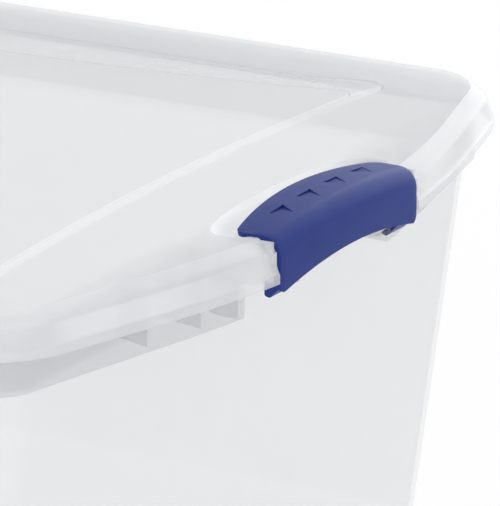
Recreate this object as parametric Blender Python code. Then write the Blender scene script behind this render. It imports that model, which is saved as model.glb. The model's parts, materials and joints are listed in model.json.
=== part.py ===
# Shallow clear storage box with a latching lid: tapered tub, lid, two end latches.
# Metres, +Z up, the box stands on z = 0 with its length along X.
import math

import bpy
import bmesh

# Driving sizes. _IN runs inwards from the lid's bowed end, _SIDE from its long side,
# and heights without another note run up from the lid's lower edge
LENGTH = 0.600          # over the bowed ends of the lid
WIDTH = 0.430           # over the long sides of the lid
HEIGHT = 0.2025         # floor to the top of the lid border
WALL = 0.0020           # tub wall
LID_WALL = 0.0018       # lid wall
TAPER = 0.098           # inward lean of the tub walls per unit of depth

# Lid
LID_SKIRT = 0.0185      # lower edge of the lid skirt to the border
LID_SET = 0.0425        # the bowed ends are set back by this at the long sides
LID_FLANK = 0.079       # straight run of a bowed end beside each long side
LID_CORNER = 0.030
LIP_H = 0.0040          # thickened lip along the lower edge
LIP_T = 0.0010          # the lip stands proud by this
RIM_RUN = 0.0105        # lower edge to flat border, measured inwards
RIM_LEAN = 0.0031       # lean of the skirt up to its shoulder
SHOULDER = 0.0060       # height of the rounded shoulder
PANEL_IN = 0.090        # channel line at mid width
PANEL_END_R = 1.500     # radius of the hollow ends of the panel
PANEL_STEP = 0.0018     # panel edge inside the channel line, at the ends
PANEL_SIDE = 0.063      # panel edge at its corners
PANEL_WAIST = 0.022     # the panel edge bows in by this at mid length
VALLEY_SIDE = 0.040     # channel line along the long sides
VALLEY_DEEP = 0.0035
VALLEY_END = 0.0012     # depth of the channel along the ends
VALLEY_FADE = 0.035     # length over which it deepens
VALLEY_CORNER = 0.012

# Tub
TUB_BACK = 0.0050       # end wall inside the lid's set-back corners, at its lower edge
TUB_SIDE = 0.019        # long wall at the same height
TUB_CORNER = 0.010
FOOT_R = 0.003          # rounding round the floor
LIP_GAP = 0.0014        # tub lip under the wall of the lid border
LIP_STAND = 0.0030      # lip over the flange plate
FLANGE_T = 0.0020
FLANGE_GAP = 0.0003     # flange edge inside the lid skirt
SKIRT_IN = 0.015        # hanging skirt of the flange, at mid width
SKIRT_NEAR = 0.0088     # and behind the lid's bowed end at the corners
SKIRT_FLANK = 0.1095    # straight run of its ends
SKIRT_SIDE = 0.0085
SKIRT_STEP = 0.014      # its corner radius is smaller than the lid's by this
SKIRT_DROP = 0.017      # skirt below the lid's lower edge
SKIRT_T = 0.0016
SKIRT_LEAN = 0.0010
FUSE = 0.0008           # features of one moulding run into each other by this
PLATE_T = 0.0022        # webs, gussets and lugs
GUSSET_STEP = (0.025, 0.057)    # gussets beyond the end of the latch bay

# Latch and its seat
LATCH_HALF = 0.059      # half length of a latch
LATCH_T = 0.0022
LATCH_ARCH = 0.0042     # rise of its back at mid length
LATCH_OVER = 0.0007     # its back over the lid border, at its ends
LATCH_FACE = 0.0044     # outer face inside the lid apex, at its ends
LATCH_BELLY = 0.0014    # outer face further out at mid length
LATCH_ROUND = 0.0085    # radius between face and back
LATCH_REACH = 0.033     # inner edge inside the lid apex, at mid length
LATCH_SWEEP = 0.0065    # inner edge set back at its ends
LATCH_LOW = 0.0055      # lower corners under the lid's lower edge
LATCH_LIFT = 0.0075     # lower edge higher by this at mid length
LATCH_TRIM = 0.0040     # rounding of its corners
AXIS_IN = 0.010         # hinge axis
AXIS_LOW = 0.0035       # hinge axis under the lid's lower edge
PIN_R = 0.0020
HOOK_R = 0.0040
HOOK_GAP = 0.0004       # round the pin
HOOK_END = 0.0015       # hook inside the end of the latch
HOOK_LONG = 0.015
HOOK_MOUTH = 100        # degrees left open towards the tub
LUG_R = 0.0033
LUG_GAP = 0.0019        # lug beside the hook
SEAT_GAP = 0.0015       # seat half length beyond the latch
SEAT_CLEAR = 0.0016     # set-back face of the lid behind the latch wall
SEAT_EDGE = 0.0030      # lower edge of that face
POCKET_DEEP = 0.0049    # floor of the finger pocket under the border
POCKET_SIDE = 0.0065    # pocket half length beyond the latch
POCKET_RUN = 0.0158     # pocket beyond the inner edge of the latch
POCKET_DRAW = 0.0072    # floor drawn in from the pocket's edge
POCKET_STEP = 0.0016    # draw where the steep edge ends
NECK_IN = 0.0185        # the seat's straight ends widen into the pocket from here
NECK_RUN = 0.0100
BAY_GAP = 0.0030        # half length of the bay in the skirt beyond the latch
BAY_BACK = 0.0010       # flange left on the end wall in a bay
PLATE_SIDE = 0.008      # flange plate cut away beyond each end of the bay
NOTCH_SIDE = 0.0085     # lip notch beyond the pocket
NOTCH_UP = 0.0005       # lip left over the flange in the notch
GRIP_PITCH = 0.023      # grip marks along a latch
GRIP_LONG = 0.0075
GRIP_HALF = 0.0045
GRIP_DEEP = 0.0006
CLEAR = 0.030           # cutters run past what they cut by this

END = LENGTH / 2
SIDE = WIDTH / 2
EDGE_Z = HEIGHT - LID_SKIRT             # height of the lid's lower edge
LID_CROWN = SIDE - LID_FLANK            # half width of the round part of an end
LID_END_R = LID_CROWN * (SIDE - LID_CROWN / 2) / LID_SET
TUB_IN = LID_SET + TUB_BACK
LIP_UP = LID_SKIRT - LID_WALL - LIP_GAP
FLANGE_Z = LIP_UP - LIP_STAND
FLANGE_IN = RIM_LEAN + LID_WALL + FLANGE_GAP
UNDER = FLANGE_Z - FLANGE_T
SKIRT_HALF = SIDE - SKIRT_SIDE
SKIRT_CROWN = SKIRT_HALF - SKIRT_FLANK
SKIRT_SET = LID_SET - LID_CROWN / LID_END_R * SKIRT_SIDE + SKIRT_NEAR - SKIRT_IN
SKIRT_END_R = SKIRT_CROWN * (SKIRT_HALF - SKIRT_CROWN / 2) / SKIRT_SET
LATCH_TOP = LID_SKIRT + LATCH_OVER
BAY_HALF = LATCH_HALF + BAY_GAP
SEAT_HALF = LATCH_HALF + SEAT_GAP
SEAT_FACE = LATCH_FACE + LATCH_T + SEAT_CLEAR
SEAT_FLOOR = LID_SKIRT - POCKET_DEEP
POCKET_HALF = LATCH_HALF + POCKET_SIDE
POCKET_IN = LATCH_REACH + POCKET_RUN
HOOK_OUTER = LATCH_HALF - HOOK_END
HOOK_INNER = HOOK_OUTER - HOOK_LONG
LUG_Y = HOOK_INNER - LUG_GAP - PLATE_T / 2
N_END, N_CORNER, N_LONG = 9, 5, 6

for old in list(bpy.data.objects):
    bpy.data.objects.remove(old)

box = bpy.data.collections.new("under_bed_box")
tools = bpy.data.collections.new("cutters")
bpy.context.scene.collection.children.link(box)
bpy.context.scene.collection.children.link(tools)


def material(name, colour, rough, through):
    mat = bpy.data.materials.new(name)
    mat.use_nodes = True
    shader = mat.node_tree.nodes["Principled BSDF"]
    shader.inputs["Base Color"].default_value = (*colour, 1.0)
    shader.inputs["Roughness"].default_value = rough
    shader.inputs["Transmission Weight"].default_value = through
    return mat


def fall_back(y, end_r, crown):
    """How far a bowed end falls back: round up to the crown's half width, then straight."""
    if abs(y) < crown:
        return y * y / (2 * end_r)
    return crown * (abs(y) - crown / 2) / end_r


def outline(half_x, half_y, corner, z, end_r=None, crown=SIDE, waist=0.0):
    """Closed rounded outline; end_r bows the ends (negative: hollow), waist draws the long sides in."""
    quarter = []
    for k in range(N_END):
        quarter.append((half_x, (half_y - corner) * k / N_END))
    for k in range(N_CORNER):
        turn = math.pi / 2 * k / N_CORNER
        quarter.append((half_x - corner + corner * math.cos(turn), half_y - corner + corner * math.sin(turn)))
    for k in range(N_LONG + 1):
        quarter.append(((half_x - corner) * (1 - k / N_LONG), half_y))
    shaped = []
    for x, y in quarter:
        share = min(1.0, x / (half_x - corner))
        y -= waist * (y / half_y) * (1 - (x / half_x) ** 2)
        if end_r is not None:
            x -= fall_back(y, end_r, crown) * share
        shaped.append((x, y))
    half = shaped + [(-x, y) for x, y in reversed(shaped[:-1])]
    loop = half + [(x, -y) for x, y in reversed(half[1:-1])]
    return [(x, y, z(x, y) if callable(z) else z) for x, y in loop]


def mesh_object(name, verts, faces, group, mat=None, origin=(0.0, 0.0, 0.0)):
    mesh = bpy.data.meshes.new(name)
    mesh.from_pydata([tuple(p - o for p, o in zip(v, origin)) for v in verts], [], faces)
    work = bmesh.new()
    work.from_mesh(mesh)
    bmesh.ops.recalc_face_normals(work, faces=work.faces)
    bmesh.ops.triangulate(work, faces=work.faces)
    work.to_mesh(mesh)
    work.free()
    obj = bpy.data.objects.new(name, mesh)
    obj.location = origin
    group.objects.link(obj)
    if mat is not None:
        mesh.materials.append(mat)
    if group is tools:
        obj.hide_render = True
        obj.display_type = "WIRE"
    return obj


def loft(stacks, closed=False):
    """Faces between successive sections of each stack, capped unless the stack closes on itself."""
    verts, faces = [], []
    for rings in stacks:
        base, n, m = len(verts), len(rings[0]), len(rings)
        for section in rings:
            verts.extend(section)
        for i in range(m if closed else m - 1):
            lower, upper = base + i * n, base + ((i + 1) % m) * n
            for k in range(n):
                nxt = (k + 1) % n
                faces.append((lower + k, lower + nxt, upper + nxt, upper + k))
        if not closed:
            faces.append(tuple(range(base, base + n)))
            faces.append(tuple(range(base + (m - 1) * n, base + m * n)))
    return verts, faces


def boolean(target, tool, operation):
    mod = target.modifiers.new(tool.name, "BOOLEAN")
    mod.object = tool
    mod.operation = operation
    mod.solver = "EXACT"


def at_end(sign, inward, y, up):
    """A point given from the lid apex at one end and the lid's lower edge."""
    return (sign * (END - inward), y, EDGE_Z + up)


def slab(sign, section, y0, y1):
    """Two facing sections in the X-Z plane, for a plate across the box's end."""
    return [[at_end(sign, u, y, v) for u, v in section] for y in (y0, y1)]


# Tub: one tapered shell, outside then inside
def tub_ring(up, inset):
    lean = TAPER * up
    corner = max(TUB_CORNER - inset, WALL * 2)
    half_x, half_y = END - TUB_IN + lean - inset, SIDE - TUB_SIDE + lean - inset
    return outline(half_x, half_y, corner, EDGE_Z + up)


def foot_steps(radius, n):
    turns = [math.pi / 2 * k / n for k in range(n + 1)]
    return [(radius * (1 - math.sin(t)), radius * (1 - math.cos(t))) for t in turns]


clear = material("clear_polypropylene", (0.84, 0.85, 0.87), 0.28, 0.55)
shell = [tub_ring(rise - EDGE_Z, run) for run, rise in foot_steps(FOOT_R, 4)]
shell += [tub_ring(-EDGE_Z / 2, 0.0), tub_ring(0.0, 0.0), tub_ring(LIP_UP, 0.0)]
shell += [tub_ring(LIP_UP, WALL), tub_ring(0.0, WALL), tub_ring(-EDGE_Z / 2, WALL)]
shell += [tub_ring(rise + WALL - EDGE_Z, run + WALL) for run, rise in reversed(foot_steps(FOOT_R - WALL, 4))]
tub = mesh_object("tub", *loft([shell]), box, clear)


# Flange plate with its hanging skirt, closed round the tub
def plate_ring(inset, up):
    return outline(END - inset, SIDE - inset, LID_CORNER - inset, EDGE_Z + up, LID_END_R, LID_CROWN)


def skirt_ring(inset, up):
    corner = LID_CORNER - SKIRT_STEP - inset
    half_x, half_y = END - SKIRT_IN - inset, SKIRT_HALF - inset
    return outline(half_x, half_y, corner, EDGE_Z + up, SKIRT_END_R, SKIRT_CROWN)


def skirt_in(y):
    """Outer face of the skirt inside the lid apex, across the end."""
    return SKIRT_IN + fall_back(y, SKIRT_END_R, SKIRT_CROWN)


band = [tub_ring(FLANGE_Z, WALL * 0.6), plate_ring(FLANGE_IN, FLANGE_Z), plate_ring(FLANGE_IN, UNDER),
        skirt_ring(0.0, UNDER), skirt_ring(SKIRT_LEAN, -SKIRT_DROP),
        skirt_ring(SKIRT_LEAN + SKIRT_T, -SKIRT_DROP), skirt_ring(SKIRT_T + SKIRT_LEAN / 5, UNDER),
        tub_ring(UNDER, WALL * 0.6)]
flange = mesh_object("flange", *loft([band], closed=True), tools)

low_bays, high_bays, ribs, lugs, pins, notches = [], [], [], [], [], []
spin = [2 * math.pi * k / 20 for k in range(20)]
rod = [(AXIS_IN + PIN_R * math.cos(t), -AXIS_LOW + PIN_R * math.sin(t)) for t in spin]
root = TUB_IN - FUSE / 4
foot = -SKIRT_DROP * 0.75                # webs and gussets meet the end wall here
for sign in (1, -1):
    back = TUB_IN - BAY_BACK
    low_bays.append(slab(sign, [(-CLEAR, UNDER), (-CLEAR, -SKIRT_DROP - CLEAR), (back, -SKIRT_DROP - CLEAR),
                                (back, UNDER)], -BAY_HALF, BAY_HALF))
    high_bays.append(slab(sign, [(-CLEAR, 0.0), (-CLEAR, CLEAR), (back, CLEAR), (back, 0.0)],
                          -BAY_HALF - PLATE_SIDE, BAY_HALF + PLATE_SIDE))
    level = FLANGE_Z + NOTCH_UP
    reach = POCKET_HALF + NOTCH_SIDE
    near, far = back - CLEAR / 2, back + CLEAR / 2
    notches.append(slab(sign, [(near, level), (near, CLEAR), (far, CLEAR), (far, level)], -reach, reach))
    for side in (1, -1):
        edge = skirt_in(BAY_HALF) + FUSE / 2
        neck = (edge + TUB_IN) / 2 - FUSE * 3
        web = [(root, UNDER + FUSE), (neck + FUSE, UNDER + FUSE), (neck - FUSE, 0.0), (edge, -SKIRT_LEAN),
               (edge + SKIRT_LEAN, -SKIRT_DROP), (neck, -SKIRT_DROP), (TUB_IN + WALL, foot)]
        ribs.append(slab(sign, web, side * BAY_HALF, side * (BAY_HALF + PLATE_T)))
        for step in GUSSET_STEP:
            y = BAY_HALF + step
            edge = skirt_in(y) + SKIRT_T * 0.75
            top = LIP_UP - FUSE / 2
            web = [(root, top), (edge, top), (edge + SKIRT_LEAN * 0.6, SKIRT_T - SKIRT_DROP),
                   (TUB_IN + WALL, foot)]
            ribs.append(slab(sign, web, side * (y - PLATE_T / 2), side * (y + PLATE_T / 2)))
        nose = AXIS_IN - LUG_R * 0.88
        arm = [(TUB_IN - FUSE / 2, LUG_R * 1.5), (AXIS_IN + LUG_R * 0.35, LUG_R - AXIS_LOW),
               (nose, LUG_R / 2 - AXIS_LOW), (nose, -LUG_R / 2 - AXIS_LOW),
               (AXIS_IN + LUG_R * 0.42, -LUG_R - AXIS_LOW), (TUB_IN + WALL, foot)]
        lugs.append(slab(sign, arm, side * (LUG_Y - PLATE_T / 2), side * (LUG_Y + PLATE_T / 2)))
        pins.append(slab(sign, rod, side * LUG_Y, side * (HOOK_OUTER + HOOK_END * 0.6)))
boolean(tub, flange, "UNION")
tub_steps = (("bay_low", low_bays, "DIFFERENCE"), ("bay_high", high_bays, "DIFFERENCE"),
             ("lip_notch", notches, "DIFFERENCE"), ("ribs", ribs, "UNION"), ("lugs", lugs, "UNION"),
             ("pins", pins, "UNION"))
for name, stacks, operation in tub_steps:
    boolean(tub, mesh_object(name, *loft(stacks), tools), operation)


# Lid: rim, sloping border, channel line and panel, outside then inside
def lid_ring(inset, up):
    return outline(END - inset, SIDE - inset, LID_CORNER - inset, EDGE_Z + up, LID_END_R, LID_CROWN)


def channel_z(drop):
    def height(x, y):
        along = (END - PANEL_IN - abs(x)) / VALLEY_FADE
        share = min(1.0, max(0.0, along)) if abs(y) > SIDE - VALLEY_SIDE - VALLEY_CORNER / 3 else 0.0
        share = share * share * (3 - 2 * share)
        return HEIGHT - drop - VALLEY_END - (VALLEY_DEEP - VALLEY_END) * share
    return height


def channel_ring(drop):
    return outline(END - PANEL_IN, SIDE - VALLEY_SIDE, VALLEY_CORNER, channel_z(drop), -PANEL_END_R)


def panel_ring(inset, drop):
    return outline(END - PANEL_IN - PANEL_STEP - inset, SIDE - PANEL_SIDE - inset, VALLEY_CORNER * 2 / 3,
                   HEIGHT - drop, -PANEL_END_R, waist=PANEL_WAIST)


def rim(wall):
    """Rim profile from the border down to the lower edge, or its inner face one wall inside."""
    turns = [math.pi / 2 * k / 4 for k in range(4, -1, -1)]
    top = LID_SKIRT - SHOULDER
    profile = [(RIM_RUN - (RIM_RUN - RIM_LEAN - wall) * math.cos(t), top + (SHOULDER - wall) * math.sin(t))
               for t in turns]
    profile += [(LIP_T + wall, LIP_H + LIP_T * 0.8), (wall, LIP_H - wall / 4), (wall, 0.0)]
    return profile


crust = [panel_ring(0.0, 0.0), channel_ring(0.0)] + [lid_ring(*p) for p in rim(0.0)]
crust += [lid_ring(*p) for p in reversed(rim(LID_WALL))]
crust += [channel_ring(LID_WALL), panel_ring(LID_WALL / 9, LID_WALL)]
lid = mesh_object("lid", *loft([crust]), box, clear)


def crescent(sign, grow, draw, up):
    """Finger pocket outline: square to the rim, curved towards the panel, drawn in lower down."""
    seat = SEAT_HALF + grow
    wide = max(POCKET_HALF + grow - 0.8 * draw, seat + LIP_T / 2)
    deep = POCKET_IN + grow - 2.2 * draw
    front = SEAT_FACE - FUSE / 2 - grow / 2
    points = [(front, seat), (NECK_IN, seat), (NECK_IN + NECK_RUN * 0.4, wide - FUSE / 2),
              (NECK_IN + NECK_RUN * 0.85, wide)]
    for k in range(1, 12):
        turn = math.pi * k / 12
        start = NECK_IN + NECK_RUN
        points.append((start + (deep - start) * math.sin(turn) ** 0.8, wide * math.cos(turn)))
    points += [(u, -y) for u, y in reversed(points[:4])]
    return [at_end(sign, u, y, up) for u, y in points]


backs, bowls, pockets, fronts = [], [], [], []
for sign in (1, -1):
    face, back = SEAT_FACE - LID_WALL * 1.5, SEAT_FACE + LID_WALL
    backs.append(slab(sign, [(face, SEAT_EDGE), (face, SEAT_FLOOR), (back, SEAT_FLOOR), (back, SEAT_EDGE)],
                      -SEAT_HALF - LID_WALL, SEAT_HALF + LID_WALL))
    shelf = LID_SKIRT - POCKET_DEEP / 4
    bowls.append([crescent(sign, LID_WALL, POCKET_DRAW, SEAT_FLOOR - LID_WALL),
                  crescent(sign, LID_WALL, POCKET_STEP, shelf - LID_WALL),
                  crescent(sign, LID_WALL, 0.0, LID_SKIRT - LID_WALL * 0.4)])
    pockets.append([crescent(sign, 0.0, POCKET_DRAW, SEAT_FLOOR), crescent(sign, 0.0, POCKET_STEP, shelf),
                    crescent(sign, 0.0, 0.0, LID_SKIRT + FUSE / 8),
                    crescent(sign, 0.0, -FUSE, LID_SKIRT + CLEAR)])
    fronts.append(slab(sign, [(-CLEAR, -CLEAR), (-CLEAR, CLEAR * 2), (SEAT_FACE, CLEAR * 2),
                              (SEAT_FACE, -CLEAR)], -SEAT_HALF, SEAT_HALF))
lid_steps = (("seat_back", backs, "UNION"), ("seat_bowl", bowls, "UNION"),
             ("seat_pocket", pockets, "DIFFERENCE"), ("seat_front", fronts, "DIFFERENCE"))
for name, stacks, operation in lid_steps:
    boolean(lid, mesh_object(name, *loft(stacks), tools), operation)


# Latches: an arched clip over the rim, hooked to the tub's pins at both ends
def latch_section(sign, y):
    t = abs(y) / LATCH_HALF
    swell = 1 - t * t
    tight = (max(0.0, t - 0.93) / 0.07) ** 2
    face = LATCH_FACE - LATCH_BELLY * swell
    top = LATCH_TOP + LATCH_ARCH * swell
    low = LATCH_LIFT * swell - LATCH_LOW + LATCH_TRIM * 0.75 * tight
    tip = LATCH_REACH - LATCH_SWEEP * t * t - LATCH_TRIM * tight
    middle = (face + tip) / 2 + LATCH_ROUND / 2
    turns = [math.pi / 2 * k / 5 for k in range(1, 5)]
    outer = [(face + LATCH_T / 10, low), (face, top - LATCH_ROUND)]
    outer += [(face + LATCH_ROUND * (1 - math.cos(t)), top - LATCH_ROUND * (1 - math.sin(t))) for t in turns]
    outer += [(face + LATCH_ROUND, top), (middle, top + LATCH_T / 10),
              (tip - LATCH_T / 3, top - LATCH_T / 10), (tip, top - LATCH_T / 3)]
    bend = LATCH_ROUND - LATCH_T
    inner = [(tip - LATCH_T / 10, top - LATCH_T), (middle, top - LATCH_T),
             (face + LATCH_ROUND, top - LATCH_T)]
    inner += [(face + LATCH_ROUND - bend * math.cos(t), top - LATCH_ROUND + bend * math.sin(t))
              for t in reversed(turns)]
    inner += [(face + LATCH_T, top - LATCH_ROUND), (face + LATCH_T, low)]
    return [at_end(sign, u, y, v) for u, v in outer + inner]


def hook_section():
    """Open hook round the pin, with an arm to the clip's lower edge."""
    reach = 180 - HOOK_MOUTH / 2

    def polar(radius, degrees):
        turn = math.radians(degrees)
        return (AXIS_IN - radius * math.cos(turn), -AXIS_LOW + radius * math.sin(turn))

    heel = [polar(HOOK_R, a) for a in (-reach, -110, -90)]
    wall = LATCH_FACE + LATCH_T * 0.4
    arm = [(wall, HOOK_R / 6 - AXIS_LOW), (wall, HOOK_R * 1.1 - AXIS_LOW)]
    back = [polar(HOOK_R, 20 + (reach - 20) * k / 6) for k in range(7)]
    bore = [polar(PIN_R + HOOK_GAP, reach - 2 * reach * k / 12) for k in range(13)]
    return heel + arm + back + bore


blue = material("blue_polypropylene", (0.055, 0.075, 0.235), 0.35, 0.0)
stations = [LATCH_HALF * k / 10 for k in (-10, -9.75, -9.3, -8, -6, -4, -2, 0, 2, 4, 6, 8, 9.3, 9.75, 10)]
for sign, name in ((1, "latch_right"), (-1, "latch_left")):
    axis = at_end(sign, AXIS_IN, 0.0, -AXIS_LOW)
    latch = mesh_object(name, *loft([[latch_section(sign, y) for y in stations]]), box, blue, axis)
    hooks = [slab(sign, hook_section(), side * HOOK_INNER, side * HOOK_OUTER) for side in (1, -1)]
    marks = []
    for k in range(4):
        y = GRIP_PITCH * (k - 1.5)
        top = LATCH_TOP + LATCH_ARCH * (1 - (y / LATCH_HALF) ** 2)
        base = LATCH_FACE + LATCH_ROUND * 1.25
        wedge = [(base, y - GRIP_HALF), (base, y + GRIP_HALF), (base + GRIP_LONG, y)]
        marks.append([[at_end(sign, u, v, top + dz) for u, v in wedge] for dz in (-GRIP_DEEP, CLEAR / 10)])
    boolean(latch, mesh_object(name + "_hooks", *loft(hooks), tools), "UNION")
    boolean(latch, mesh_object(name + "_marks", *loft(marks), tools), "DIFFERENCE")
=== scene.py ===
# Under bed box: a milky clear tub and lid with a blue latch at each end, on a white studio floor.
import json
import math

import bmesh
import bpy
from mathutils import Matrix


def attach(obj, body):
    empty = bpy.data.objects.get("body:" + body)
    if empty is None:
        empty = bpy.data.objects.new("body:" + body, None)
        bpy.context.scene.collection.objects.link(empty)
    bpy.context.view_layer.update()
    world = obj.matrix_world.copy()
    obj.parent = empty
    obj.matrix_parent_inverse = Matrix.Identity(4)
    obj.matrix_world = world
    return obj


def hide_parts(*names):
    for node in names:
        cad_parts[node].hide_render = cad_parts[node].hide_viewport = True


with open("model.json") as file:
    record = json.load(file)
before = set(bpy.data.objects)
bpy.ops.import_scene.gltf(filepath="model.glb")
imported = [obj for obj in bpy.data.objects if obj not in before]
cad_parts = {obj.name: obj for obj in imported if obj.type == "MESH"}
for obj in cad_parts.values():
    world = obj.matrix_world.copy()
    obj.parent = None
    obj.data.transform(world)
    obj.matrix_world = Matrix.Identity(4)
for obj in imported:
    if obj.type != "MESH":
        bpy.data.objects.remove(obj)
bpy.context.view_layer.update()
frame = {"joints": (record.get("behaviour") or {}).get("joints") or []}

# Sizes in metres. The lid's bowed ends reach END from the middle, its long sides SIDE.
# A place at an end is given as (in from the lid's apex, along Y, up from the lid's lower edge).
END, SIDE, TOP, EDGE = 0.300, 0.215, 0.2025, 0.184
LID_SET, LID_CROWN, LID_CORNER, LID_WALL, LID_RISE = 0.0425, 0.136, 0.030, 0.0018, 0.0185
LIP_H, LIP_T, RIM_RUN, RIM_LEAN, RIM_BEND, SHOULDER = 0.0040, 0.0010, 0.0105, 0.0031, 0.0047, 0.0060
CHANNEL_IN, CHANNEL_SIDE, CHANNEL_CORNER, CHANNEL_LIP = 0.090, 0.040, 0.012, 0.0012
CHANNEL_END, CHANNEL_DEEP, CHANNEL_FADE, GROOVE = 0.0012, 0.0035, 0.035, 0.0009
PANEL_STEP, PANEL_SIDE, PANEL_WAIST, HOLLOW_R, PANEL_LINE = 0.0042, 0.063, 0.022, 1.5, 0.0010
TUB_IN, TUB_SIDE, TUB_WALL, TUB_CORNER, TAPER = 0.0475, 0.019, 0.0020, 0.010, 0.098
FOOT, LIP_UP, FLANGE_UP, FLANGE_UNDER, FLANGE_IN = 0.003, 0.0153, 0.0123, 0.0103, 0.0060
SKIRT_IN, SKIRT_SIDE, SKIRT_CORNER, SKIRT_SET, SKIRT_CROWN = 0.015, 0.0085, 0.016, 0.03384, 0.097
SKIRT_DROP, SKIRT_T, SKIRT_LEAN = 0.017, 0.0016, 0.0010
WEB, BAY, GUSSETS = 0.0022, 0.062, (0.087, 0.119)
LATCH_HALF, LATCH_T, LATCH_ARCH, LATCH_TOP = 0.059, 0.0022, 0.0042, 0.0192
LATCH_FACE, LATCH_BELLY, LATCH_ROUND = 0.0044, 0.0014, 0.0085
LATCH_REACH, LATCH_SWEEP, LATCH_LOW, LATCH_LIFT, LATCH_CORNER = 0.033, 0.0065, 0.0055, 0.0075, 0.0048
AXIS_IN, AXIS_LOW, PIN_R, HOOK_R, HOOK_GAP = 0.010, 0.0035, 0.0020, 0.0040, 0.0004
PIN_FROM, PIN_TO, HOOK_FROM, HOOK_TO, CHEEK_FROM, CHEEK_TO = 0.0395, 0.0562, 0.0425, 0.0575, 0.0565, 0.0586
MARK_POINT, MARK_BASE, MARK_HALF, MARK_DEEP = 0.0143, 0.0225, 0.0058, 0.0008
MARK_PITCH, MARK_SHIFT = 0.023, 0.003
SEAT, SEAT_FACE, SEAT_EDGE = 0.0605, 0.0082, 0.0030
POCKET_HALF, POCKET_IN, POCKET_DEEP, NECK_IN, NECK_RUN = 0.0655, 0.0488, 0.0049, 0.0185, 0.0100
FUSE, CLEAR = 0.0008, 0.030

# Points along each corner, end and side of an outline, the same on all of them so that they bridge cleanly
CORNER_STEPS, END_CUTS, SIDE_CUTS = 10, 31, 47


def at(inward, y, up):
    return (END - inward, y, EDGE + up)


def begin(name):
    """A new empty mesh, open in edit mode, with nothing else selected."""
    bpy.ops.object.select_all(action="DESELECT")
    bpy.ops.object.add(type="MESH", enter_editmode=True, location=(0, 0, 0))
    bpy.context.object.name = name
    bpy.ops.mesh.select_mode(type="VERT")
    return bpy.context.object


def points():
    return bmesh.from_edit_mesh(bpy.context.object.data).verts


def pick(kind, test):
    """Selects what is shown and has all its points inside the test."""
    bpy.ops.mesh.select_mode(type=kind)
    bpy.ops.mesh.select_all(action="DESELECT")
    work = bmesh.from_edit_mesh(bpy.context.object.data)
    rows = {"VERT": work.verts, "EDGE": work.edges, "FACE": work.faces}[kind]
    for item in rows:
        corners = [item] if kind == "VERT" else item.verts
        if not item.hide and all(test(v) for v in corners):
            item.select_set(True)
    work.select_flush_mode()
    bmesh.update_edit_mesh(bpy.context.object.data)


def near(value, target):
    return abs(value - target) < 1e-5


def ease(step, reach, falloff="INVERSE_SQUARE"):
    """Moves what is selected, and its neighbours less and less out to the reach."""
    bpy.ops.transform.translate(value=step, use_proportional_edit=True,
                                proportional_edit_falloff=falloff, proportional_size=reach)


def outline(half_x, half_y, corner, z, bow=0.0, crown=0.0, waist=0.0):
    """A rounded oblong loop. Bow sets its ends back at the long sides, round over the crown's half width and
    straight beyond it, or round all along; waist draws its sides in at mid length."""
    bpy.ops.mesh.select_all(action="SELECT")
    bpy.ops.mesh.hide()
    first = len(points())
    straight = half_x - bow
    bpy.ops.mesh.primitive_plane_add(size=2, location=(0, 0, z))
    bpy.ops.transform.resize(value=(straight, half_y, 1), center_override=(0, 0, z))
    bpy.ops.mesh.select_mode(type="VERT")
    bpy.ops.mesh.bevel(offset=corner, segments=CORNER_STEPS, affect="VERTICES")
    bpy.ops.mesh.select_all(action="SELECT")
    bpy.ops.mesh.delete(type="ONLY_FACE")
    pick("EDGE", lambda v: near(abs(v.co.x), straight))
    bpy.ops.mesh.subdivide(number_cuts=END_CUTS)
    pick("EDGE", lambda v: near(abs(v.co.y), half_y))
    bpy.ops.mesh.subdivide(number_cuts=SIDE_CUTS)
    for way in (1, -1):
        if waist:
            pick("VERT", lambda v: near(v.co.x, 0) and v.co.y * way > 0)
            ease((0, -way * waist, 0), straight)
        pick("VERT", lambda v: near(v.co.y, 0) and v.co.x * way > 0)
        if crown:
            slope = bow / (half_y - crown / 2)
            ease((way * slope * half_y, 0, 0), half_y, "LINEAR")
            ease((-way * slope * crown / 2, 0, 0), crown * math.hypot(1, slope), "SHARP")
        elif bow:
            ease((way * bow, 0, 0), half_y)
    loop = set(range(first, len(points())))
    bpy.ops.mesh.reveal(select=False)
    return loop


def bridge(one, other):
    pick("EDGE", lambda v: v.index in one or v.index in other)
    work = bmesh.from_edit_mesh(bpy.context.object.data)
    for edge in work.edges:
        ends = [v.index in one for v in edge.verts]
        if edge.select and (ends[0] != ends[1] or edge.link_faces and len(edge.link_faces) > 1):
            edge.select_set(False)
    bmesh.update_edit_mesh(bpy.context.object.data)
    bpy.ops.mesh.bridge_edge_loops()


def cap(loop):
    pick("EDGE", lambda v: v.index in loop)
    bpy.ops.mesh.edge_face_add()


def draw(profile, closed=True):
    """Draws a profile point by point, and fills it where it is closed."""
    first = len(points())
    bpy.ops.mesh.primitive_plane_add(size=0.0002, location=profile[0])
    bpy.ops.mesh.merge(type="CENTER")
    for here, there in zip(profile, profile[1:]):
        step = tuple(b - a for a, b in zip(here, there))
        bpy.ops.mesh.extrude_vertices_move(TRANSFORM_OT_translate={"value": step})
    pick("VERT", lambda v: v.index >= first)
    if closed:
        bpy.ops.mesh.edge_face_add()
    return set(range(first, len(points())))


def prism(profile, step):
    draw(profile)
    bpy.ops.mesh.extrude_region_move(TRANSFORM_OT_translate={"value": step})


def slab(section, y0, y1):
    """A plate across the right end, from a section drawn in from the apex and up from the lid's edge."""
    prism([at(u, y0, v) for u, v in section], (0, y1 - y0, 0))


def twin():
    """Repeats the whole open mesh at the other end of the box."""
    bpy.ops.mesh.select_all(action="SELECT")
    bpy.ops.mesh.duplicate()
    bpy.ops.transform.rotate(value=math.pi, orient_axis="Z", center_override=(0, 0, 0))


def close():
    """Faces outwards, then back to object mode."""
    bpy.ops.mesh.select_all(action="SELECT")
    bpy.ops.mesh.normals_make_consistent(inside=False)
    bpy.ops.object.mode_set(mode="OBJECT")
    return bpy.context.object


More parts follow.
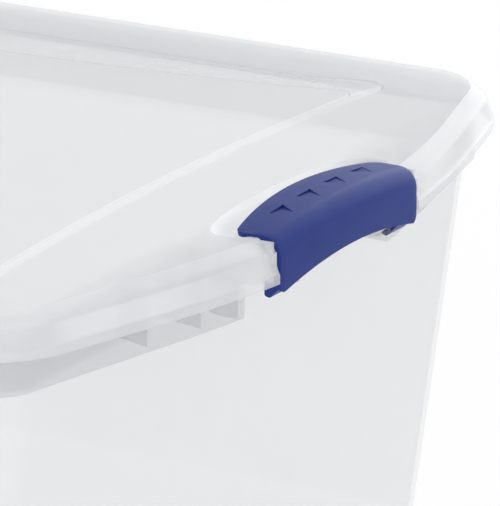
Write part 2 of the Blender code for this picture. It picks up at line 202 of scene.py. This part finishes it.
def finish_with(piece, kind, **settings):
    bpy.ops.object.select_all(action="DESELECT")
    piece.select_set(True)
    bpy.context.view_layer.objects.active = piece
    bpy.ops.object.modifier_add(type=kind)
    modifier = piece.modifiers[-1]
    for name, value in settings.items():
        setattr(modifier, name, value)
    bpy.ops.object.modifier_apply(modifier=modifier.name)


def work_in(piece, tool, operation):
    """Joins a tool to a piece or cuts the piece with it, and clears the tool away."""
    finish_with(piece, "BOOLEAN", object=tool, operation=operation, solver="EXACT")
    bpy.data.objects.remove(tool)


def smooth(piece, degrees):
    bpy.ops.object.select_all(action="DESELECT")
    piece.select_set(True)
    bpy.context.view_layer.objects.active = piece
    bpy.ops.object.shade_smooth_by_angle(angle=math.radians(degrees))


# Tub: a tapered shell, its flange and hanging skirt, then the bays, webs, gussets, lugs and pins at both ends
def tub_outline(z, inset):
    lean = TAPER * (z - EDGE) - inset
    return outline(END - TUB_IN + lean, SIDE - TUB_SIDE + lean, TUB_CORNER - inset, z)


def plate_outline(inset, up):
    bow = LID_SET * (1 - inset / (SIDE - LID_CROWN / 2))
    return outline(END - inset, SIDE - inset, LID_CORNER - inset, EDGE + up, bow, LID_CROWN)


def skirt_outline(inset, up):
    half_y = SIDE - SKIRT_SIDE
    bow = SKIRT_SET * (1 - inset / (half_y - SKIRT_CROWN / 2))
    return outline(END - SKIRT_IN - inset, half_y - inset, SKIRT_CORNER - inset, EDGE + up, bow, SKIRT_CROWN)


def skirt_in(y):
    slope = SKIRT_SET / (SIDE - SKIRT_SIDE - SKIRT_CROWN / 2)
    return SKIRT_IN + slope * (y * y / 2 / SKIRT_CROWN if y < SKIRT_CROWN else y - SKIRT_CROWN / 2)


def make_tub():
    tub = begin("tub_shell")
    foot = tub_outline(0.0, 0.0)
    lip = tub_outline(EDGE + LIP_UP, 0.0)
    bridge(foot, lip)
    cap(foot)
    pick("EDGE", lambda v: near(v.co.z, 0))
    bpy.ops.mesh.bevel(offset=FOOT, segments=6, affect="EDGES")
    pick("FACE", lambda v: near(v.co.z, 0))
    bpy.ops.mesh.inset(thickness=0.004)
    close()
    finish_with(tub, "SOLIDIFY", thickness=TUB_WALL, offset=-1, use_even_offset=True)

    flange = begin("flange")
    inner = TUB_WALL * 0.6
    rings = [tub_outline(EDGE + FLANGE_UP, inner), plate_outline(FLANGE_IN, FLANGE_UP),
             plate_outline(FLANGE_IN, FLANGE_UNDER), skirt_outline(0.0, FLANGE_UNDER),
             skirt_outline(SKIRT_LEAN, -SKIRT_DROP), skirt_outline(SKIRT_LEAN + SKIRT_T, -SKIRT_DROP),
             skirt_outline(SKIRT_T + SKIRT_LEAN / 5, FLANGE_UNDER), tub_outline(EDGE + FLANGE_UNDER, inner)]
    for k in (0, 2, 4, 6, 1, 3, 5, 7):
        bridge(rings[k], rings[(k + 1) % 8])
    close()
    work_in(tub, flange, "UNION")

    back = TUB_IN - 0.0010
    bay = begin("latch_bay")
    slab([(-CLEAR, FLANGE_UNDER), (-CLEAR, -SKIRT_DROP - CLEAR), (back, -SKIRT_DROP - CLEAR),
          (back, FLANGE_UNDER)], -BAY, BAY)
    twin()
    close()
    work_in(tub, bay, "DIFFERENCE")
    bay = begin("plate_bay")
    slab([(-CLEAR, 0.0), (-CLEAR, CLEAR), (back, CLEAR), (back, 0.0)], -BAY - 0.008, BAY + 0.008)
    twin()
    close()
    work_in(tub, bay, "DIFFERENCE")
    notch = begin("lip_notch")
    level, reach = FLANGE_UP + 0.0005, POCKET_HALF + 0.0085
    slab([(back - CLEAR / 2, level), (back - CLEAR / 2, CLEAR), (back + CLEAR / 2, CLEAR),
          (back + CLEAR / 2, level)], -reach, reach)
    twin()
    close()
    work_in(tub, notch, "DIFFERENCE")

    root, low, top = TUB_IN - FUSE / 4, -SKIRT_DROP * 0.75, FLANGE_UNDER + FUSE
    ribs = begin("webs_and_gussets")
    for side in (1, -1):
        edge = skirt_in(BAY) + FUSE / 2
        neck = (edge + TUB_IN) / 2 - FUSE * 3
        slab([(root, top), (neck + FUSE, top), (neck - FUSE, 0.0), (edge, -SKIRT_LEAN),
              (edge + SKIRT_LEAN, -SKIRT_DROP), (neck, -SKIRT_DROP), (TUB_IN + TUB_WALL, low)],
             side * BAY, side * (BAY + WEB))
        for y in GUSSETS:
            edge = skirt_in(y) + SKIRT_T * 0.75
            high = LIP_UP - FUSE / 2
            slab([(root, high), (edge, high), (edge + SKIRT_LEAN * 0.6, SKIRT_T - SKIRT_DROP),
                  (TUB_IN + TUB_WALL, low)], side * (y - WEB / 2), side * (y + WEB / 2))
    twin()
    close()
    work_in(tub, ribs, "UNION")

    lugs = begin("lugs")
    for side in (1, -1):
        y, r = side * PIN_FROM, 0.0033
        nose = AXIS_IN - r * 0.88
        slab([(TUB_IN - FUSE / 2, r * 1.5), (AXIS_IN + r * 0.35, r - AXIS_LOW), (nose, r / 2 - AXIS_LOW),
              (nose, -r / 2 - AXIS_LOW), (AXIS_IN + r * 0.42, -r - AXIS_LOW), (TUB_IN + TUB_WALL, low)],
             y - WEB / 2, y + WEB / 2)
    twin()
    close()
    work_in(tub, lugs, "UNION")
    pins = begin("pins")
    turns = [2 * math.pi * k / 24 for k in range(24)]
    for side in (1, -1):
        slab([(AXIS_IN + PIN_R * math.cos(t), PIN_R * math.sin(t) - AXIS_LOW) for t in turns],
             side * PIN_FROM, side * PIN_TO)
    twin()
    close()
    work_in(tub, pins, "UNION")
    smooth(tub, 30)
    return tub


# Lid: rim, border, channel and panel in one sheet, thickened, then the latch seats cut at both ends
def crescent(grow, drawn, up):
    """Edge of a finger pocket: square to the rim, curved towards the panel, drawn in lower down."""
    seat = SEAT + grow
    wide = max(POCKET_HALF + grow - 0.8 * drawn, seat + LIP_T / 2)
    deep = POCKET_IN + grow - 2.2 * drawn
    front, start = SEAT_FACE - FUSE / 2 - grow / 2, NECK_IN + NECK_RUN
    half = [(front, seat), (NECK_IN, seat), (NECK_IN + NECK_RUN * 0.2, (seat + wide) / 2),
            (NECK_IN + NECK_RUN * 0.45, wide - FUSE / 3), (NECK_IN + NECK_RUN * 0.8, wide)]
    bend = [math.pi * k / 24 for k in range(1, 24)]
    curve = [(start + (deep - start) * math.sin(t) ** 0.8, wide * math.cos(t)) for t in bend]
    return [at(u, y, up) for u, y in half + curve + [(u, -y) for u, y in reversed(half)]]


def stack(levels):
    """A closed body through pocket edges, from the lowest to the highest."""
    loops = []
    for level in levels:
        loops.append(draw(crescent(*level), closed=False))
        pick("VERT", lambda v: v.index in loops[-1])
        bpy.ops.mesh.edge_face_add()
        bpy.ops.mesh.delete(type="ONLY_FACE")
    for one, other in zip(loops, loops[1:]):
        bridge(one, other)
    cap(loops[0])
    cap(loops[-1])
    twin()


def make_lid():
    lid = begin("lid_shell")
    edge = outline(END, SIDE, LID_CORNER, EDGE, LID_SET, LID_CROWN)
    cap(edge)
    bpy.ops.mesh.extrude_region_move(TRANSFORM_OT_translate={"value": (0, 0, LIP_H)})
    bpy.ops.mesh.select_all(action="SELECT")
    bpy.ops.mesh.normals_make_consistent(inside=False)
    pick("FACE", lambda v: near(v.co.z, EDGE + LIP_H))
    rim = [(0.0, LIP_H), (LIP_T * 0.4, LIP_H + LIP_T * 0.6), (LIP_T, LIP_H + LIP_T * 2)]
    start, stop = (RIM_LEAN, LID_RISE - SHOULDER), (RIM_RUN, LID_RISE)
    bend = (RIM_BEND, LID_RISE - SHOULDER / 2)
    for t in [k / 9 for k in range(10)]:
        rim.append([(1 - t) ** 2 * a + 2 * t * (1 - t) * b + t * t * c for a, b, c in zip(start, bend, stop)])
    for here, there in zip(rim, rim[1:]):
        bpy.ops.mesh.inset(thickness=there[0] - here[0], depth=there[1] - here[1])
    bpy.ops.mesh.delete(type="ONLY_FACE")
    pick("FACE", lambda v: near(v.co.z, EDGE))
    bpy.ops.mesh.delete(type="FACE")
    border = {v.index for v in points() if near(v.co.z, TOP)}
    def ring(inward, side, corner, sink, waist):
        half_y = SIDE - side
        return outline(END - CHANNEL_IN - inward, half_y, corner, TOP - sink,
                       -half_y ** 2 / 2 / HOLLOW_R, waist=waist)

    channel = [ring(-step, CHANNEL_SIDE - step, CHANNEL_CORNER + step, sink, 0.0)
               for step, sink in ((CHANNEL_LIP, CHANNEL_END), (0.0, CHANNEL_END + GROOVE),
                                  (-CHANNEL_LIP, CHANNEL_END))]
    panel = [ring(PANEL_STEP - step, PANEL_SIDE - step, CHANNEL_CORNER * 2 / 3 + step, sink, PANEL_WAIST)
             for step, sink in ((PANEL_LINE * 2, 0.0), (PANEL_LINE, PANEL_LINE * 0.7), (0.0, 0.0))]
    bpy.ops.mesh.select_all(action="DESELECT")
    for loop in channel:
        pick("VERT", lambda v: v.index not in loop)
        bpy.ops.mesh.hide()
        reach = END - CHANNEL_IN - CHANNEL_FADE
        pick("VERT", lambda v: abs(v.co.y) > SIDE - CHANNEL_SIDE - CHANNEL_LIP - 1e-4 and abs(v.co.x) < reach)
        ease((0, 0, CHANNEL_END - CHANNEL_DEEP), CHANNEL_FADE, "SMOOTH")
        bpy.ops.mesh.reveal(select=False)
    loops = [border] + channel + panel
    for outer, inner in zip(loops, loops[1:]):
        bridge(outer, inner)
    lines = [{v.co.to_tuple(6) for v in points() if v.index in loop} for loop in (channel[1], panel[1])]
    cap(panel[2])
    bpy.ops.mesh.inset(thickness=0.003)
    bpy.ops.mesh.delete(type="ONLY_FACE")
    pick("EDGE", lambda v: near(v.co.z, TOP) and v.is_boundary)
    bpy.ops.mesh.fill_grid(span=END_CUTS + 1 + CORNER_STEPS)
    for line, round_off in zip(lines, (0.0003, 0.0003)):
        pick("EDGE", lambda v: v.co.to_tuple(6) in line)
        bpy.ops.mesh.bevel(offset=round_off, segments=3, affect="EDGES")
    close()
    finish_with(lid, "SOLIDIFY", thickness=LID_WALL, offset=-1, use_even_offset=True)

    floor = LID_RISE - POCKET_DEEP
    seat_back = begin("seat_back")
    slab([(SEAT_FACE - LID_WALL * 1.5, SEAT_EDGE), (SEAT_FACE - LID_WALL * 1.5, floor),
          (SEAT_FACE + LID_WALL, floor), (SEAT_FACE + LID_WALL, SEAT_EDGE)],
         -SEAT - LID_WALL, SEAT + LID_WALL)
    twin()
    close()
    work_in(lid, seat_back, "UNION")
    rim_ends = begin("rim_ends")
    for side in (1, -1):
        slab([(0.0046, 0.0003), (0.0046, 0.0042), (0.0058, 0.0062), (0.0077, 0.0126), (0.0090, 0.0159),
              (0.0115, 0.0174), (0.0145, 0.0176), (0.0145, 0.0125), (0.0110, 0.0125), (0.0110, 0.0003)],
             side * (SEAT - 0.0004), side * (SEAT + LID_WALL * 0.9))
    twin()
    close()
    work_in(lid, rim_ends, "UNION")
    scoop = [(0.0072, 0.0049), (0.0058, 0.0046), (0.0044, 0.0038), (0.0030, 0.0026), (0.0016, 0.0012),
             (0.0006, 0.0005)]
    bowl = begin("seat_bowl")
    stack([(LID_WALL, drawn, LID_RISE - deep - LID_WALL) for drawn, deep in scoop]
          + [(LID_WALL, 0.0, LID_RISE - LID_WALL * 0.4)])
    close()
    work_in(lid, bowl, "UNION")
    pocket = begin("seat_pocket")
    stack([(0.0, drawn, LID_RISE - deep) for drawn, deep in scoop]
          + [(0.0, 0.0, LID_RISE + FUSE / 8), (0.0, -FUSE, LID_RISE + CLEAR)])
    close()
    work_in(lid, pocket, "DIFFERENCE")
    front = begin("seat_front")
    slab([(-CLEAR, -CLEAR), (-CLEAR, CLEAR * 2), (SEAT_FACE, CLEAR * 2), (SEAT_FACE, -CLEAR)], -SEAT, SEAT)
    twin()
    close()
    work_in(lid, front, "DIFFERENCE")
    smooth(lid, 15)
    return lid


# Latch: a strip bent over the rim, arched and bellied, with grip marks and hooks; the other is turned round
def make_latch():
    latch = begin("latch_clip_right")
    turns = [math.pi / 2 * k / 8 for k in range(1, 9)]
    top, tip = LATCH_TOP, LATCH_REACH - LATCH_SWEEP
    section = [(LATCH_FACE, -LATCH_LOW), (LATCH_FACE, top - LATCH_ROUND)]
    section += [(LATCH_FACE + LATCH_ROUND * (1 - math.cos(t)), top - LATCH_ROUND * (1 - math.sin(t)))
                for t in turns]
    section += [(LATCH_FACE + LATCH_ROUND + 0.0045, top), (tip - 0.0045, top), (tip, top - 0.0004)]
    draw([at(u, -LATCH_HALF, v) for u, v in section], closed=False)
    bpy.ops.mesh.select_mode(type="EDGE")
    bpy.ops.mesh.select_all(action="SELECT")
    bpy.ops.mesh.extrude_edges_move(TRANSFORM_OT_translate={"value": (0, LATCH_HALF * 2, 0)})
    work = bmesh.from_edit_mesh(latch.data)
    bpy.ops.mesh.select_all(action="DESELECT")
    for edge in work.edges:
        edge.select_set(abs(edge.verts[0].co.y - edge.verts[1].co.y) > LATCH_HALF)
    bmesh.update_edit_mesh(latch.data)
    bpy.ops.mesh.subdivide(number_cuts=31)

    low, back = EDGE - LATCH_LOW, END - tip
    shapes = ((lambda v: not near(v.co.z, low), (0, 0, LATCH_ARCH)),
              (lambda v: near(v.co.z, low), (0, 0, LATCH_LIFT)),
              (lambda v: v.co.x > END - LATCH_FACE - LATCH_ROUND - 1e-5, (LATCH_BELLY, 0, 0)),
              (lambda v: v.co.x < back + 1e-5, (-LATCH_SWEEP, 0, 0)),
              (lambda v: abs(v.co.x - back - 0.0045) < 1e-5, (-LATCH_SWEEP * 0.8, 0, 0)))
    groups = [{v.index for v in points() if test(v)} for test, step in shapes]
    for group, (test, step) in zip(groups, shapes):
        pick("VERT", lambda v: v.index not in group)
        bpy.ops.mesh.hide()
        pick("VERT", lambda v: near(v.co.y, 0))
        ease(step, LATCH_HALF)
        bpy.ops.mesh.reveal(select=False)
    pick("VERT", lambda v: near(abs(v.co.y), LATCH_HALF) and len(v.link_edges) == 2)
    bpy.ops.mesh.bevel(offset=LATCH_CORNER, segments=6, affect="VERTICES")
    close()
    finish_with(latch, "SOLIDIFY", thickness=LATCH_T, offset=-1, use_even_offset=True)
    finish_with(latch, "BEVEL", width=0.0006, segments=3, limit_method="ANGLE", angle_limit=math.radians(50))

    marks = begin("grip_marks")
    for k in range(4):
        y = MARK_PITCH * (k - 1.5) + MARK_SHIFT
        level = LATCH_TOP + LATCH_ARCH * (1 - (y / LATCH_HALF) ** 2)
        deep = level - MARK_DEEP
        prism([at(MARK_BASE, y - MARK_HALF, deep), at(MARK_BASE, y + MARK_HALF, deep),
               at(MARK_POINT, y, level - 0.0001)], (0, 0, 0.005))
    close()
    work_in(latch, marks, "DIFFERENCE")

    def round_pin(radius, degrees):
        turn = math.radians(degrees)
        return (AXIS_IN - radius * math.cos(turn), radius * math.sin(turn) - AXIS_LOW)

    hooks = begin("hooks")
    reach, wall = 130, LATCH_FACE + LATCH_T * 0.4
    section = [round_pin(HOOK_R, a) for a in (-reach, -120, -110, -100, -90)]
    section += [(wall, HOOK_R / 6 - AXIS_LOW), (wall, HOOK_R * 1.1 - AXIS_LOW)]
    section += [round_pin(HOOK_R, 20 + (reach - 20) * k / 12) for k in range(13)]
    section += [round_pin(PIN_R + HOOK_GAP, reach - 2 * reach * k / 20) for k in range(21)]
    for side in (1, -1):
        slab(section, side * HOOK_FROM, side * HOOK_TO)
    close()
    work_in(latch, hooks, "UNION")
    cheeks = begin("cheeks")
    for side in (1, -1):
        slab(section[:20], side * CHEEK_FROM, side * CHEEK_TO)
    close()
    work_in(latch, cheeks, "UNION")
    smooth(latch, 35)
    return latch


def turned_round(piece, name):
    """A copy with a mesh of its own at the other end of the box."""
    bpy.ops.object.select_all(action="DESELECT")
    piece.select_set(True)
    bpy.context.view_layer.objects.active = piece
    bpy.ops.object.duplicate()
    copy = bpy.context.object
    copy.name = name
    bpy.ops.object.mode_set(mode="EDIT")
    bpy.ops.mesh.select_all(action="SELECT")
    bpy.ops.transform.rotate(value=math.pi, orient_axis="Z", center_override=(0, 0, 0))
    bpy.ops.object.mode_set(mode="OBJECT")
    return copy


def linear(code):
    """sRGB hex to linear colour."""
    parts = [int(code[i:i + 2], 16) / 255 for i in (1, 3, 5)]
    return tuple(c / 12.92 if c <= 0.04045 else ((c + 0.055) / 1.055) ** 2.4 for c in parts) + (1.0,)


def add(tree, kind, settings, links):
    """Adds a node with its settings, inputs and links; a link runs from a node's output to an input here."""
    node = tree.nodes.new(kind)
    for name, value in settings.items():
        if isinstance(name, int) or name in node.inputs:
            node.inputs[name].default_value = value
        else:
            setattr(node, name, value)
    for socket, (source, output) in links.items():
        tree.links.new(source.outputs[output], node.inputs[socket])
    return node


def pitch(size_mm):
    """Noise scale on Object coordinates for blotches of a real size."""
    return 1000.0 / size_mm


def moulded(name, pale, deep, blotch_mm, grain_mm, rough, grain_lift, skirt=None, **constants):
    """Injection moulded plastic: slightly cloudy colour, gloss that varies with the flow, a fine mould grain.
    Between the two heights given with it, the colour turns a greyer tone: painted shade standing for the
    skirt's darkening under the lid and behind its stacked layers."""
    mat = bpy.data.materials.new(name)
    mat.use_nodes = True
    tree = mat.node_tree
    tree.nodes.clear()
    place = add(tree, "ShaderNodeTexCoord", {}, {})
    spot = {"Vector": (place, "Object")}
    cloud = add(tree, "ShaderNodeTexNoise", {"Scale": pitch(blotch_mm), "Detail": 3.0}, spot)
    tint = add(tree, "ShaderNodeMix", {"data_type": "RGBA"}, {"Factor": (cloud, "Fac")})
    tint.inputs[6].default_value, tint.inputs[7].default_value = linear(pale), linear(deep)
    flow = add(tree, "ShaderNodeTexNoise", {"Scale": pitch(blotch_mm / 4), "Detail": 2.0}, spot)
    gloss = add(tree, "ShaderNodeMapRange", {"To Min": rough - 0.05, "To Max": rough + 0.05},
                {"Value": (flow, "Fac")})
    grain = add(tree, "ShaderNodeTexNoise", {"Scale": pitch(grain_mm), "Detail": 2.0}, spot)
    relief = add(tree, "ShaderNodeBump", {"Strength": grain_lift, "Distance": grain_mm / 8000},
                 {"Height": (grain, "Fac")})
    shader = add(tree, "ShaderNodeBsdfPrincipled", constants,
                 {"Roughness": (gloss, "Result"), "Normal": (relief, "Normal")})
    # Painted shade: the colour greys in a height band over the skirt and flange, standing in for the lid's
    # shadow and the stacked layers
    if skirt:
        height = add(tree, "ShaderNodeSeparateXYZ", {}, {"Vector": (place, "Object")})
        painted_shade_tone, low, high = skirt
        painted_shade_band = add(tree, "ShaderNodeMath", {"operation": "COMPARE", 1: (low + high) / 2, 2: (high - low) / 2},
                   {0: (height, "Z")})
        tint = add(tree, "ShaderNodeMix", {"data_type": "RGBA"}, {"Factor": (painted_shade_band, "Value"), 6: (tint, 2)})
        tint.inputs[7].default_value = linear(painted_shade_tone)
    tree.links.new(tint.outputs[2], shader.inputs["Base Color"])
    add(tree, "ShaderNodeOutputMaterial", {}, {"Surface": (shader, "BSDF")})
    return mat


# Polypropylene moulded thin and unpigmented: milky, so what lies behind shows through it faintly. From below
# the skirt's hem up past the flange, the colour is painted greyer: painted shade for the lid's shadow and the
# stacked layers there.
tub_plastic = moulded("milky_polypropylene_tub", "#e6e8eb", "#e0e2e6", 90, 0.9, 0.36, 0.06,
                      **{"skirt": ("#a9abb1", EDGE - 0.0175, EDGE + 0.0080), "Alpha": 0.16, "IOR": 1.5})
# The lid is the same plastic off a more polished mould: glossier, thicker to the eye and a little whiter
lid_plastic = moulded("milky_polypropylene_lid", "#f1f2f4", "#ebedf0", 70, 0.9, 0.24, 0.04,
                      **{"Alpha": 0.40, "IOR": 1.5})
# Pigmented polypropylene: an even dark blue with a satin, faintly grained skin
latch_plastic = moulded("blue_polypropylene", "#32428a", "#2d3c7e", 25, 0.8, 0.42, 0.15,
                        **{"Specular IOR Level": 0.07})

tub = make_tub()
lid = make_lid()
latch = make_latch()
other_latch = turned_round(latch, "latch_clip_left")
for piece, node, slot, mat in ((tub, "tub", "clear_polypropylene_tub", tub_plastic),
                               (lid, "lid", "clear_polypropylene_lid", lid_plastic),
                               (latch, "latch_right", "blue_polypropylene", latch_plastic),
                               (other_latch, "latch_left", "blue_polypropylene", latch_plastic)):
    piece.data.materials.clear()
    piece.data.materials.append(mat)
    body = next(j["child"] for j in frame["joints"] if j["child"] == node) if node != "tub" else "tub"
    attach(piece, body)
    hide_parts(node)


# Studio: a floor that the camera sees as white, with a trace of the box's soft shadow on it, and a pale dome
def white_floor():
    mat = bpy.data.materials.new("white_paper")
    mat.use_nodes = True
    tree = mat.node_tree
    tree.nodes.clear()
    path = add(tree, "ShaderNodeLightPath", {}, {})
    seen = add(tree, "ShaderNodeMath", {"operation": "MAXIMUM"},
               {0: (path, "Is Camera Ray"), 1: (path, "Is Glossy Ray")})
    seen = add(tree, "ShaderNodeMath", {"operation": "MAXIMUM"},
               {0: (seen, "Value"), 1: (path, "Is Transmission Ray")})
    share = add(tree, "ShaderNodeMath", {"operation": "MULTIPLY", 1: 0.93}, {0: (seen, "Value")})
    paper = add(tree, "ShaderNodeBsdfDiffuse", {"Color": linear("#f4f4f4")}, {})
    glow = add(tree, "ShaderNodeEmission", {"Strength": 1.0}, {})
    both = add(tree, "ShaderNodeMixShader", {},
               {0: (share, "Value"), 1: (paper, "BSDF"), 2: (glow, "Emission")})
    add(tree, "ShaderNodeOutputMaterial", {}, {"Surface": (both, "Shader")})
    return mat


bpy.ops.object.select_all(action="DESELECT")
bpy.ops.mesh.primitive_plane_add(size=40, location=(0, 0, -0.0002))
floor = bpy.context.object
floor.name = "studio_floor"
floor.data.materials.append(white_floor())

world = bpy.data.worlds.new("white_dome")
bpy.context.scene.world = world
world.use_nodes = True
world.node_tree.nodes.clear()
path = add(world.node_tree, "ShaderNodeLightPath", {}, {})
seen = add(world.node_tree, "ShaderNodeMath", {"operation": "MAXIMUM"},
           {0: (path, "Is Camera Ray"), 1: (path, "Is Glossy Ray")})
seen = add(world.node_tree, "ShaderNodeMath", {"operation": "MAXIMUM"},
           {0: (seen, "Value"), 1: (path, "Is Transmission Ray")})
level = add(world.node_tree, "ShaderNodeMapRange", {"To Min": 0.64, "To Max": 1.0},
            {"Value": (seen, "Value")})
dome = add(world.node_tree, "ShaderNodeBackground", {"Color": (1, 1, 1, 1)}, {"Strength": (level, "Result")})
add(world.node_tree, "ShaderNodeOutputWorld", {}, {"Surface": (dome, "Background")})


def softbox(name, place, aim, size, watts):
    lamp = bpy.data.lights.new(name, "AREA")
    lamp.shape, lamp.size, lamp.size_y, lamp.energy = "RECTANGLE", size[0], size[1], watts
    obj = bpy.data.objects.new(name, lamp)
    bpy.context.scene.collection.objects.link(obj)
    obj.location = place
    look = [a - b for a, b in zip(aim, place)]
    flat = math.hypot(look[0], look[1])
    obj.rotation_euler = (math.atan2(flat, -look[2]), 0.0, math.atan2(-look[0], look[1]))


softbox("back_softbox", (0.3, 1.9, 1.1), (0.1, 0.0, 0.2), (2.0, 2.0), 24)
softbox("side_softbox", (1.93, 0.75, 0.75), (0.25, -0.1, 0.2), (0.45, 0.45), 4)
softbox("key_softbox", (0.5, -1.8, 0.6), (0.25, -0.1, 0.15), (0.8, 0.8), 9)


camera_data = bpy.data.cameras.new("long_lens")
camera_data.lens, camera_data.sensor_width, camera_data.sensor_fit = 468.0, 36.0, "HORIZONTAL"
camera_data.clip_end = 60.0
camera = bpy.data.objects.new("long_lens", camera_data)
bpy.context.scene.collection.objects.link(camera)
camera.location = (1.5637, -2.2955, 0.9998)
camera.rotation_euler = (math.radians(72.66), 0.0, math.radians(29.84))
bpy.context.scene.camera = camera
bpy.context.scene.view_settings.view_transform = "Standard"
# A sight line crosses many milky faces, and each of them has to let it pass
bpy.context.scene.cycles.transparent_max_bounces = 64
